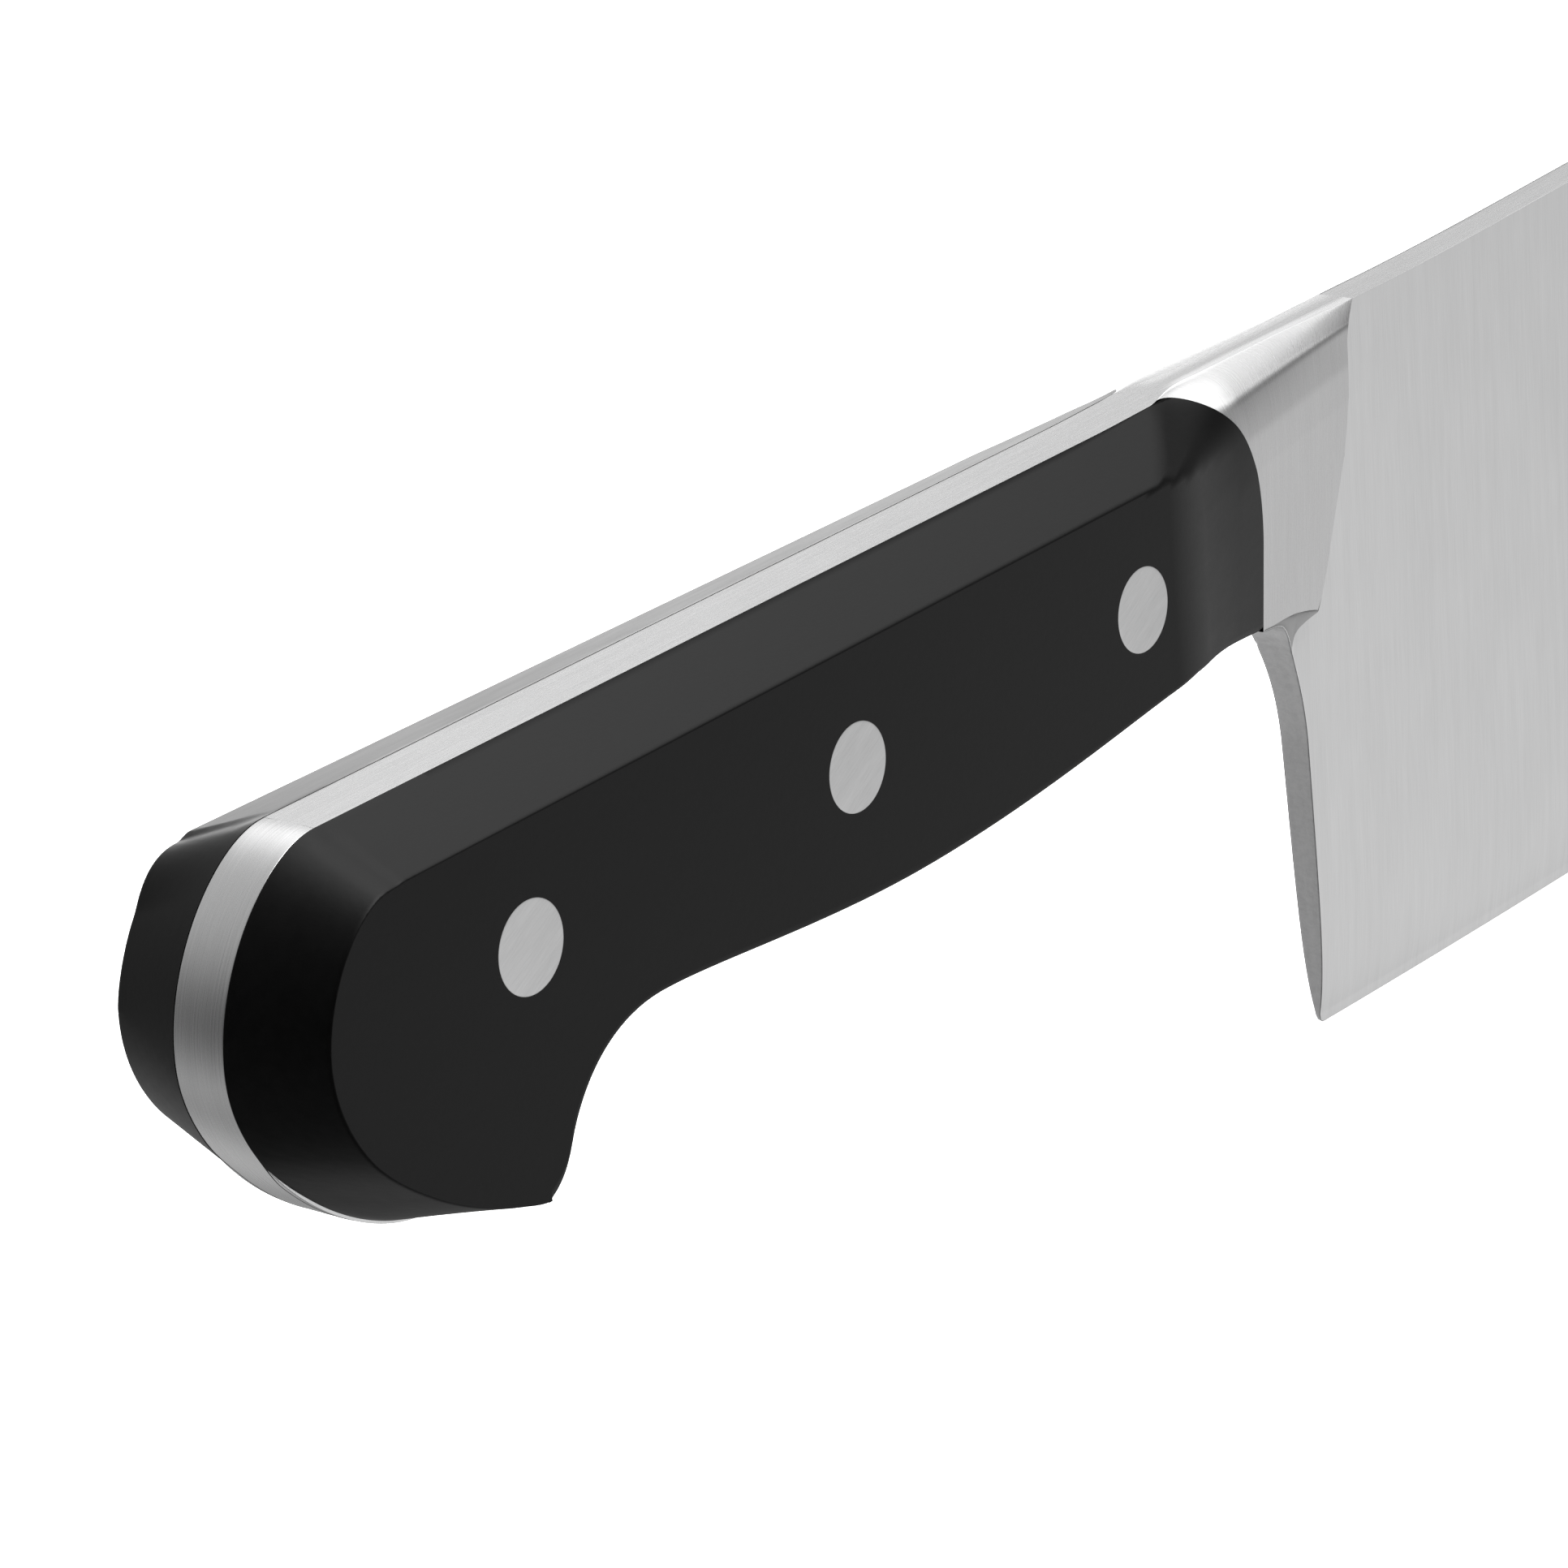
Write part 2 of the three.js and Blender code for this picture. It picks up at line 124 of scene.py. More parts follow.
# ---- blade ---------------------------------------------------------------------------
HEEL = (103.0, -47.4)
TIP = (333.0, -12.0)
EDGE_LOW = (162, -48.95)
EDGE_RISE_POWER = 1.6
EDGE_FALL_POWER = 2.6
SPINE_RISE_X = 114.0
SPINE_HIGH = (178, 13.3)
SPINE_FALL_POWER = 2.1
TIP_HALF_HEIGHT = 0.4
EDGE_HALF = 0.1
WEDGE_HALF = 1.07
WEDGE_HEIGHT = 4.06
FACE_SLOPE = 0.0085
TIP_THINNING = 0.45
CHOIL_FLARE = 0.3
CHOIL_FLARE_CORNER = (99.7, -13.5)
CHOIL_FLARE_REACH = (2.2, 4)
CHOIL_FLARE_SPAN = (108, 100)

# ---- tilted shading normals of the bolster -------------------------------------------
CREST_LEAN = 0.33
FAR_LEAN = 0.2
CREST_START_SPAN = (83.5, 89)
CREST_RIGHT_Z = (9.1, 10.3)
CREST_LEFT_STEEPNESS = (0.8, 0.95)
CREST_RIM_SPAN = (-0.1, -0.75)
CREST_PITCH = -0.004
BAND_Z = (5.9, 6.9)
BAND_LEAN = 0.15

# ---- softened edges of the steel strips ----------------------------------------------
STRIP_RADIUS = 0.07
BUTT_RADIUS = 0.055
BUTT_CROWN = 0.03
TOP_RADIUS = (0.035, 0.001)
TOP_CROWN = (0.02, 0.0)
TOP_SHARPEN_SPAN = (81, 83)
SPINE_CROWN = 0.03
EDGE_RADIUS = 0.02
CHOIL_RADIUS = 0.08
ACROSS = np.r_[-1, -0.992, -0.975, -0.94, np.linspace(-0.85, 0.85, 13), 0.94, 0.975, 0.992, 1]

STEEL_FLAT, STEEL_BOLSTER, STEEL_RIM, STEEL_CHOIL_PAINTED_LIGHT, STEEL_COVE_PAINTED_SHADE = range(5)


# ---- small helpers -------------------------------------------------------------------
def clamp(t):
    return np.clip(t, 0.0, 1.0)


def smoothstep(a, b, x):
    t = clamp((x - a) / (b - a))
    return t * t * (3 - 2 * t)


def mix(a, b, t):
    return a + (b - a) * t


def smooth_min(a, b, width):
    h = np.maximum(width - np.abs(a - b), 0) / width
    return np.minimum(a, b) - h * h * width * 0.25


def unit(vectors):
    return vectors / np.linalg.norm(vectors, axis=-1, keepdims=True)


def corner_drop(distance, radius):
    """How far a rounded edge of this radius falls at a distance from the edge."""
    return radius - np.sqrt(np.maximum(radius ** 2 - (radius - distance) ** 2, 0))


def bezier(p0, p1, p2, p3, count):
    t = np.linspace(0, 1, count + 1)[:, None]
    p0, p1, p2, p3 = (np.array(p, float) for p in (p0, p1, p2, p3))
    return (1 - t) ** 3 * p0 + 3 * t * (1 - t) ** 2 * p1 + 3 * t * t * (1 - t) * p2 + t ** 3 * p3


def path(start, *curves, count):
    """Chain of Bezier curves. Each curve gives its two handles and its end."""
    points = [np.array([start], float)]
    for a, b, c in curves:
        points.append(bezier(points[-1][-1], a, b, c, count)[1:])
    return np.vstack(points)


def lengths_along(line):
    return np.r_[0, np.cumsum(np.linalg.norm(np.diff(line, axis=0), axis=1))]


def resample(line, fractions):
    steps = lengths_along(line)
    steps /= steps[-1]
    return np.stack([np.interp(fractions, steps, line[:, k]) for k in range(line.shape[1])], 1)


# ---- half thickness of the handle, bolster and blade over the side view --------------
def top_z(x):
    return TOP_Z_AT_REAR_RIVET + TOP_RISE * x + TOP_SWELL * smoothstep(*TOP_SWELL_SPAN, x)


def side_half(x):
    return SIDE_HALF_AT_REAR_RIVET - SIDE_TAPER * x


def roof_half(x, z):
    """Chamfer from the tang's top line out to the flat side."""
    width = side_half(x) - TANG_HALF
    return TANG_HALF + (top_z(x) - z) * width / (top_z(x) - CHAMFER_EDGE_Z)


def edge_z(x):
    rise = clamp((EDGE_LOW[0] - x) / (EDGE_LOW[0] - HEEL[0]))
    fall = clamp((x - EDGE_LOW[0]) / (TIP[0] - EDGE_LOW[0]))
    to_heel = mix(EDGE_LOW[1], HEEL[1], rise ** EDGE_RISE_POWER)
    to_tip = mix(EDGE_LOW[1], TIP[1] - TIP_HALF_HEIGHT, fall ** EDGE_FALL_POWER)
    return np.where(x < EDGE_LOW[0], to_heel, to_tip)


def spine_z(x):
    rise = mix(top_z(SPINE_RISE_X), SPINE_HIGH[1], smoothstep(SPINE_RISE_X, SPINE_HIGH[0], x))
    fall_part = clamp((x - SPINE_HIGH[0]) / (TIP[0] - SPINE_HIGH[0])) ** SPINE_FALL_POWER
    fall = mix(SPINE_HIGH[1], TIP[1] + TIP_HALF_HEIGHT, fall_part)
    return np.where(x < SPINE_RISE_X, top_z(x), np.where(x < SPINE_HIGH[0], rise, fall))


def choil_flare(x, z):
    """Extra half thickness of the blade where it meets the cove."""
    below = np.exp(-np.maximum(CHOIL_FLARE_CORNER[1] - z, 0) / CHOIL_FLARE_REACH[1])
    ahead = np.exp(-np.maximum(x - CHOIL_FLARE_CORNER[0], 0) / CHOIL_FLARE_REACH[0])
    return CHOIL_FLARE * below * ahead * smoothstep(*CHOIL_FLARE_SPAN, x)


def blade_half(x, z):
    height = np.maximum(z - edge_z(x), 0)
    wedge = WEDGE_HALF * (1 - np.exp(-height / WEDGE_HEIGHT)) + FACE_SLOPE * height
    thinning = mix(1, TIP_THINNING, clamp((x - CREASE_X) / (TIP[0] - CREASE_X)))
    return EDGE_HALF + (wedge - EDGE_HALF * clamp(height)) * thinning + choil_flare(x, z)


def taper_half(x, z):
    """Side of the bolster and of the scales' front end, tilted inwards low down."""
    behind = CREASE_X - x
    hollow = np.maximum(0, behind - BOLSTER_LENGTH)
    plan = CREASE_HALF + BOLSTER_SLOPE * behind + HOLLOW_CURVE * hollow * hollow
    below = np.maximum(0, LOWER_TILT_TOP_Z - np.maximum(z, LOWER_TILT_END_Z))
    return plan - LOWER_TILT * below * smoothstep(TAPER_X, SCALE_CORNER[0], x)


def handle_half(x, z, has_facet):
    side = smooth_min(side_half(x), taper_half(x, z), TAPER_BLEND)
    roof = roof_half(x, z)
    if not has_facet:
        return smooth_min(side, roof, ROOF_BLEND)
    width = mix(*FACET_BLEND, smoothstep(FACET_X, FACET_END_X, x))
    facet = side_half(FACET_X) - FACET_SLOPE_X * (x - FACET_X) - FACET_SLOPE_Z * (z - CHAMFER_EDGE_Z)
    roof_blend = np.maximum(width * FACET_ROOF_SHARE, ROOF_BLEND)
    return smooth_min(smooth_min(side, facet, width), roof, roof_blend)


def bolster_half(x, z):
    rise = clamp((z - ROUNDOVER_Z) / (top_z(x) - ROUNDOVER_Z))
    crest = mix(*CREST_HALF, smoothstep(*CREST_SPAN, x))
    rounding = (1 - rise ** ROUNDOVER_POWER) ** (1 / ROUNDOVER_POWER)
    return crest + (taper_half(x, z) - crest) * rounding


def envelope(x, z, has_facet):
    handle = handle_half(x, z, has_facet)
    return mix(handle, bolster_half(x, z), smoothstep(*BOLSTER_BLEND, x))


# ---- side-view lines -----------------------------------------------------------------
BUTT_TOP = (BUTT_TOP_X, float(top_z(BUTT_TOP_X)))
BUTT = path(
    BEAK,
    ((-2, -18.0), (-3.4, -18.2), (-4.9, -18.2)),
    ((-11, -18.2), (-21.3, -10), (-21.3, -2.2)),
    ((-21.3, 4.6), (-15.6, BUTT_TOP[1]), BUTT_TOP),
    count=60)
FLAT_BUTT = path(
    BEAK,
    ((-1.5, -17.55), (-2.2, -17.4), (-3.15, -17.1)),
    ((-11.5, -14.6), (-19.3, -8.2), (-19.3, -1)),
    ((-19.3, 3.2), (-15.8, CHAMFER_EDGE_Z), (-11.7, CHAMFER_EDGE_Z)),
    count=60)
BELLY = path(
    SCALE_CORNER,
    ((89, -9.3), (83, -7.9), (77.5, -7.5)),
    ((72, -7.5), (58, -10), (42, -10)),
    ((30, -10), (18.5, -8), (12.5, -8)),
    ((7.2, -8), (4, -10.9), (2.4, -14.2)),
    ((1.9, -15.3), (1.2, -16.9), BEAK),
    count=50)
FRONT_END = (FRONT_END_X, float(top_z(FRONT_END_X)))
FRONT = np.vstack([
    np.linspace(SCALE_CORNER, FRONT_ARC_START, 20)[:-1],
    bezier(FRONT_ARC_START, (92.7, 1.5), (91.05, 5.7), FRONT_ARC_MIDDLE, 40)[:-1],
    bezier(FRONT_ARC_MIDDLE, (87.0, 9.9), (85.6, FRONT_END[1]), FRONT_END, 40)])
CREASE = np.array([
    (103.8, -12.0), (104.4, -11.2), (105.4, -9), (106.3, -6.6), (107.2, -4.2),
    (107.9, -2.4), (108.6, -0.6), (109.2, 1.9), (109.6, 4), (109.7, 6),
    (109.7, 8.5), (110.1, 10.2), (CREASE_TOP_X, top_z(CREASE_TOP_X))])
CHOIL_CURVE = path(
    (92.7, -9.9),
    ((95.7, -10.2), (98.2, -11.2), (99.1, -13.2)),
    ((100.3, -16), (101.3, -18.5), (101.6, -22.5)),
    count=40)
CHOIL = np.vstack([
    CHOIL_CURVE,
    np.linspace(CHOIL_CURVE[-1], (HEEL[0] - 0.25, HEEL[1] + 0.7), 30)[1:],
    [(HEEL[0] - 0.05, HEEL[1] + 0.25), (HEEL[0] + 0.3, HEEL[1] + 0.02)]])
LIP = path(
    SCALE_CORNER,
    ((95, -10.15), (97.5, -10.2), (99.8, -10.8)),
    ((101.2, -11.15), (102.4, -11.5), (103.8, -12.0)),
    count=30)
COVE_FOOT_Z = -13.9
COVE_FOOT = [
    (99.45, COVE_FOOT_Z), (99.6, -13.3), (99.9, -12.85), (100.7, -12.5), (102.1, -12.3), (103.8, -12.15)]
COVE_CHOIL_END = (99.2, -14.2)


def belly_z(x):
    return np.interp(x, BELLY[::-1, 0], BELLY[::-1, 1])


# ---- bevel round the butt ------------------------------------------------------------
def bevel_rulings(factor_high):
    """Foot of each ruling on the outline, and its run to the edge of the flat side."""
    outline_z = BUTT[:, 1]
    corner_factor = mix(1, factor_high, BEVEL_CORNER_SHARE)
    factor = mix(1, factor_high, smoothstep(*BEVEL_SPAN, outline_z))
    factor = mix(factor, corner_factor, smoothstep(BEVEL_CORNER_Z, BUTT_TOP[1], outline_z))
    butt_run = (FLAT_BUTT - BUTT) * factor[:, None]
    top_x = np.linspace(BUTT_TOP_X, BUTT_TOP_X + BEVEL_RUN_OUT, 40)[1:]
    fade = mix(BEVEL_END_FACTOR, corner_factor, smoothstep(BUTT_TOP_X + BEVEL_FADE, BUTT_TOP_X, top_x))
    lean = mix(BEVEL_END_LEAN, 0, smoothstep(BUTT_TOP_X, BUTT_TOP_X + BEVEL_RUN_OUT, top_x))
    top_run = np.stack([lean, CHAMFER_EDGE_Z - top_z(top_x)], 1) * fade[:, None]
    foot = np.vstack([BUTT, np.stack([top_x, top_z(top_x)], 1)])
    run = np.vstack([butt_run, top_run])
    run[:2] = run[2]
    return foot, run


def ruled_fraction(points, foot, run):
    """Place of each point on the ruling through it: 0 at the foot, 1 at the flat side."""
    offset = points[:, None, :] - foot[None]
    cross = offset[..., 0] * run[None, :, 1] - offset[..., 1] * run[None, :, 0]
    before, after = cross[:, :-1], cross[:, 1:]
    is_between = (before * after) <= 0
    share = (before / np.where(before == after, 1, before - after))[..., None]
    own_foot = foot[None, :-1] * (1 - share) + foot[None, 1:] * share
    own_run = run[None, :-1] * (1 - share) + run[None, 1:] * share
    fraction = ((points[:, None] - own_foot) * own_run).sum(-1) / (own_run * own_run).sum(-1)
    return np.where(is_between & (fraction > BEVEL_LIMITS[0]), fraction, OFF_BEVEL).min(1)


def bevel_half(x, z, factor_high):
    """Half thickness of the bevel that is ruled from the outline to the flat side."""
    foot, run = bevel_rulings(factor_high)
    points = np.stack([x.ravel(), z.ravel()], 1)
    block = 4000
    blocks = [points[i:i + block] for i in range(0, len(points), block)]
    fraction = np.concatenate([ruled_fraction(part, foot, run) for part in blocks])
    inset = BEVEL_INSET * smoothstep(*BEVEL_INSET_SPAN, z)
    height = np.clip(fraction.reshape(x.shape) - inset, *BEVEL_LIMITS)
    return TANG_HALF + (side_half(x) - TANG_HALF) * height


def butt_half(x, z, factor_high):
    """Half thickness of a scale behind the middle of the butt."""
    roof, bevel = roof_half(x, z), bevel_half(x, z, factor_high)
    rise = clamp((np.minimum(roof, bevel) - TANG_HALF) / 2)
    upper = smooth_min(roof, bevel, 0.02 + 1.2 * rise)
    return smooth_min(upper, side_half(x), 0.3)


def body_half(x, z, has_facet):
    """Half thickness of a scale ahead of the butt, with its lower edge rounded."""
    step = 0.05
    slope = (belly_z(x + step) - belly_z(x - step)) / (2 * step)
    depth = np.clip((z - belly_z(x)) / np.sqrt(1 + slope * slope), 0, BELLY_EASE)
    rounded = envelope(x, z, has_facet) - corner_drop(depth, BELLY_EASE)
    return np.maximum(rounded, TANG_HALF)


# ---- meshes --------------------------------------------------------------------------
class Sheets:
    """Collects grids of points with their normals and brush coordinates into one mesh."""

    def __init__(self):
        self.points, self.normals, self.brush, self.faces, self.slots = [], [], [], [], []
        self.count = 0

    def add(self, points, normals=None, brush=None, slot=0, flip=False, closed=False):
        """Adds a grid. Normals that aren't given come from the grid, turned round by flip."""
        rows, cols = points.shape[:2]
        index = self.count + np.arange(rows * cols).reshape(rows, cols)
        across = np.gradient(points, axis=1)
        if closed:
            index = np.concatenate([index, index[:, :1]], 1)
            across = (np.roll(points, -1, 1) - np.roll(points, 1, 1)) / 2
        crossed = np.cross(across, np.gradient(points, axis=0))
        if normals is None:
            length = np.linalg.norm(crossed, axis=-1, keepdims=True)
            normals = (-1 if flip else 1) * crossed / np.maximum(length, 1e-12)
        is_turned = (crossed * normals).sum() < 0
        a, b, c, d = index[:-1, :-1], index[:-1, 1:], index[1:, 1:], index[1:, :-1]
        quads = np.stack([a, d, c, b] if is_turned else [a, b, c, d], -1).reshape(-1, 4)
        if brush is None:
            brush = points[..., [0, 2]]
        self.points.append(points.reshape(-1, 3))
        self.normals.append(normals.reshape(-1, 3))
        self.brush.append(brush.reshape(-1, 2))
        self.faces.append(quads)
        self.slots.append(np.full(len(quads), slot))
        self.count += rows * cols

    def build(self, name, materials):
        points = (np.vstack(self.points) + ORIGIN) / MM_PER_METRE
        normals = np.vstack(self.normals)
        faces = np.vstack(self.faces)
        mesh = bpy.data.meshes.new(name)
        mesh.from_pydata(points.tolist(), [], faces.tolist())
        for material in materials:
            mesh.materials.append(material)
        mesh.polygons.foreach_set("material_index", np.concatenate(self.slots).astype(np.int32))
        mesh.polygons.foreach_set("use_smooth", np.ones(len(faces), bool))
        layer = mesh.uv_layers.new(name="brush")
        loops = np.zeros(len(mesh.loops), np.int32)
        mesh.loops.foreach_get("vertex_index", loops)
        layer.data.foreach_set("uv", np.vstack(self.brush)[loops].astype(np.float32).ravel())
        mesh.normals_split_custom_set_from_vertices(normals.tolist())
        mesh.update()
        piece = bpy.data.objects.new(name, mesh)
        bpy.context.scene.collection.objects.link(piece)
        return piece


def sheet_points(x, z, half, sign):
    """Points and outward normals of the surface y = sign * half(x, z)."""
    step = 0.02
    points = np.stack([x, sign * half(x, z), z], -1)
    dx = (half(x + step, z) - half(x - step, z)) / (2 * step)
    dz = (half(x, z + step) - half(x, z - step)) / (2 * step)
    return points, unit(np.stack([-dx, np.full_like(x, sign), -dz], -1))


# ---- scales --------------------------------------------------------------------------
def clustered(feature, width, length):
    """Fractions from 0 to 1 with more of them round a feature."""
    f, w = feature / length, width / length
    lower, upper = max(f - w, f * 0.5), f + w
    before = np.linspace(0, lower, 11)[:-1]
    around = np.linspace(lower, upper, 12)[:-1]
    after = mix(upper, 1, np.linspace(0, 1, 15) ** 1.2)
    return np.r_[before, around, after]


def butt_rows(line, factor_high):
    """Rows from the outline of the butt to its centre, closer together at the flat side's edge."""
    search = np.linspace(0, 0.9, 300)
    least_distance, cluster_width = 0.02, 0.25
    xs, zs = [], []
    for p in line:
        length = math.dist(p, BUTT_CENTRE)
        x, z = mix(p[0], BUTT_CENTRE[0], search), mix(p[1], BUTT_CENTRE[1], search)
        bevel = np.minimum(roof_half(x, z), bevel_half(x, z, factor_high))
        flat_edge = search[np.argmax(bevel >= side_half(x))] * length
        rows = clustered(max(flat_edge, least_distance), cluster_width, length)
        xs.append(mix(p[0], BUTT_CENTRE[0], rows))
        zs.append(mix(p[1], BUTT_CENTRE[1], rows))
    return np.array(xs), np.array(zs)


def add_butt(sheets, sign, inner, factor_high):
    """Grid behind the centre of the butt. Returns the heights where the body's grid joins it."""
    top_x = np.linspace(BUTT_CENTRE[0], BUTT_TOP_X, 24)[:-1]
    top_line = np.stack([top_x, top_z(top_x)], 1)
    outline = np.vstack([top_line, resample(BUTT[::-1], np.linspace(0, 1, 150))])
    x, z = butt_rows(outline, factor_high)

    def half(a, b):
        return np.maximum(butt_half(a, b, factor_high), inner - INNER_OVERLAP)

    sheets.add(*sheet_points(x, z, half, sign))
    return z[0][::-1], z[-1]


def body_column(x, up_z, down):
    """Heights of one column of the body's grid, from the belly to the top line."""
    low = belly_z(x)
    lower = low + (BUTT_CENTRE[1] - low) * down
    rise = (up_z - CHAMFER_EDGE_Z) / (top_z(BUTT_CENTRE[0]) - CHAMFER_EDGE_Z)
    on_chamfer = CHAMFER_EDGE_Z + (top_z(x) - CHAMFER_EDGE_Z) * rise
    upper = np.where(up_z < CHAMFER_EDGE_Z, up_z, on_chamfer)
    return np.r_[lower, upper[1:]]


def add_body(sheets, sign, half, up_z, down_z):
    """Grid from the centre of the butt to the split line. Returns the heights at the split."""
    down = (down_z[0] - down_z) / (down_z[0] - BUTT_CENTRE[1])
    hook_front_x = 14
    columns = np.r_[
        np.linspace(BUTT_CENTRE[0], hook_front_x, 44)[:-1],
        np.linspace(hook_front_x, GRID_SPLIT_X, 60)]
    z = np.array([body_column(x, up_z, down) for x in columns])
    x = np.repeat(columns[:, None], z.shape[1], 1)
    sheets.add(*sheet_points(x, z, half, sign))
    return z[-1]


def add_front(sheets, sign, half, start):
    """Grid from the split line to the rounded front end."""
    fraction = (start - start[0]) / (start[-1] - start[0])
    end = resample(FRONT, fraction)
    u = np.linspace(0, 1, 76)[:, None]
    x = mix(GRID_SPLIT_X, end[None, :, 0], u)
    z = mix(start[None], end[None, :, 1], u)
    to_belly = (belly_z(x[:, :1]) - z[:, :1]) * (1 - fraction) ** 4
    to_top = (top_z(x[:, -1:]) - z[:, -1:]) * fraction ** 6
    z += to_belly + to_top
    sheets.add(*sheet_points(x, z, half, sign))


def add_belly_wall(sheets, sign, half, inner):
    line = BELLY[::-1]
    x, z = line[:, 0], line[:, 1]
    edge = half(x, z)
    depths = (0, 0.33, 0.66, 1)
    wall = np.stack([np.stack([x, sign * mix(inner, edge, t), z], 1) for t in depths], 1)
    down = outward_of(line, 1)
    normals = np.stack([down[:, 0], np.zeros(len(line)), down[:, 1]], 1)
    sheets.add(wall, np.repeat(normals[:, None], len(depths), 1))


def build_scale(name, sign, has_facet, factor_high, materials):
    sheets = Sheets()
    inner = TANG_HALF if sign < 0 else TANG_HALF + LEFT_SCALE_GAP

    def half(x, z):
        return body_half(x, z, has_facet)

    up_z, down_z = add_butt(sheets, sign, inner, factor_high)
    start = add_body(sheets, sign, half, up_z, down_z)
    add_front(sheets, sign, half, start)
    add_belly_wall(sheets, sign, half, inner)
    return sheets.build(name, materials)


# ---- forging -------------------------------------------------------------------------
def rim(line, half_width, outward, crown=0.0, radius=STRIP_RADIUS, left_width=None):
    """Strip across the knife along a side-view line, with softened edges and a slight crown."""
    width = np.broadcast_to(half_width, (len(line),))[:, None]
    if left_width is not None:
        width = np.where(ACROSS[None] < 0, width, left_width[:, None])
    y = ACROSS[None] * width
    distance = width - np.abs(y)
    radius = np.broadcast_to(radius, (len(line),))[:, None]
    drop = np.where(distance < radius, corner_drop(distance, radius), 0)
    crown = np.broadcast_to(crown, (len(line),))[:, None]
    lift = crown * (1 - ACROSS[None] ** 2) - crown - drop
    x = line[:, :1] + outward[:, :1] * lift
    z = line[:, 1:2] + outward[:, 1:2] * lift
    return np.stack([x, y, z], -1)


def outward_of(line, sign):
    tangent = np.gradient(line, axis=0)
    return unit(np.stack([tangent[:, 1], -tangent[:, 0]], 1) * sign)


def arc_brush(line, points):
    along = np.repeat(lengths_along(line)[:, None], points.shape[1], 1)
    return np.stack([points[..., 1], along], -1)


def add_butt_strip(sheets):
    line = resample(BUTT, np.linspace(0, 1, 160))
    points = rim(line, TANG_HALF, outward_of(line, -1), BUTT_CROWN, BUTT_RADIUS)
    sheets.add(points, None, arc_brush(line, points), STEEL_RIM)


def add_top_strip(sheets):
    """Top of the tang and bolster. Ahead of the split its normals lean to suit the crest."""
    bolster_x = BOLSTER_BLEND[0]
    xs = np.r_[
        np.linspace(BUTT_TOP_X, bolster_x, 120)[:-1],
        np.linspace(bolster_x, CREASE_TOP_X, 80)]
    line = np.stack([xs, top_z(xs)], 1)
    right_width = np.where(xs < bolster_x, TANG_HALF, envelope(xs, top_z(xs), True))
    left_width = np.where(xs < bolster_x, TANG_HALF, envelope(xs, top_z(xs), False))
    sharpening = smoothstep(*TOP_SHARPEN_SPAN, xs)
    crown, radius = mix(*TOP_CROWN, sharpening), mix(*TOP_RADIUS, sharpening)
    points = rim(line, right_width, outward_of(line, -1), crown, radius, left_width)
    split = int(np.searchsorted(xs, CREST_START_SPAN[0]))
    rear, front = points[:split + 1], points[split:]
    sheets.add(rear, None, arc_brush(line[:split + 1], rear), STEEL_RIM)
    across = front[..., 1] / right_width[split:, None]
    lean = FAR_LEAN * np.maximum(across, 0) - CREST_LEAN * smoothstep(*CREST_RIM_SPAN, across)
    lean *= smoothstep(*CREST_START_SPAN, front[..., 0])
    normals = unit(np.stack([np.full_like(lean, CREST_PITCH), lean, np.ones_like(lean)], -1))
    sheets.add(front, normals, front[..., [1, 0]], STEEL_RIM)


def add_belly_strip(sheets):
    line = BELLY[::-1]
    points = rim(line, TANG_HALF, outward_of(line, 1))
    sheets.add(points, None, arc_brush(line, points), STEEL_RIM, flip=True)


def add_tang_sides(sheets):
    """Narrow strips of the tang's flat sides, seen where the scales stand back under the butt."""
    highest_z = -8.5
    depths = (0.05, 0.2, 0.45)
    line = resample(BUTT[BUTT[:, 1] < highest_z], np.linspace(0, 1, 90))
    outward = outward_of(line, -1)
    for sign in (-1, 1):
        y = np.full(len(line), sign * TANG_HALF)
        rows = [line - outward * depth for depth in depths]
        points = np.stack([np.stack([row[:, 0], y, row[:, 1]], -1) for row in rows], 1)
        normals = np.broadcast_to(np.array([0.0, sign, 0.0]), points.shape)
        sheets.add(points, normals, None, STEEL_RIM)


def bolster_grid():
    """Side view of the bolster, from the scales' front end to the crease and from lip to crest."""
    rise = np.sin(np.linspace(0, math.pi / 2, 44)) ** (2 / ROUNDOVER_POWER)
    lower = np.linspace(0, 1, 40)[:-1]
    v_low = np.r_[lower, np.ones(len(rise))]
    v_up = np.r_[np.zeros(len(lower)), rise]

    def heights(line):
        low, high = line[0, 1], line[-1, 1]
        z = np.r_[low + (ROUNDOVER_Z - low) * lower, ROUNDOVER_Z + (high - ROUNDOVER_Z) * rise]
        return np.stack([np.interp(z, line[:, 1], line[:, 0]), z], 1)

    rear, front = heights(FRONT), heights(CREASE)
    u = np.r_[np.linspace(0, 0.97, 60), 0.985, 0.995, 1][:, None]
    x = mix(rear[None, :, 0], front[None, :, 0], u)
    z = mix(rear[None, :, 1], front[None, :, 1], u)
    lip_z = np.interp(x[:, 0], LIP[:, 0], LIP[:, 1])[:, None]
    z += (lip_z - z[:, :1]) * (1 - v_low) ** 2
    z += (top_z(x[:, -1:]) - z[:, -1:]) * v_up ** 4
    return x, z, u, front


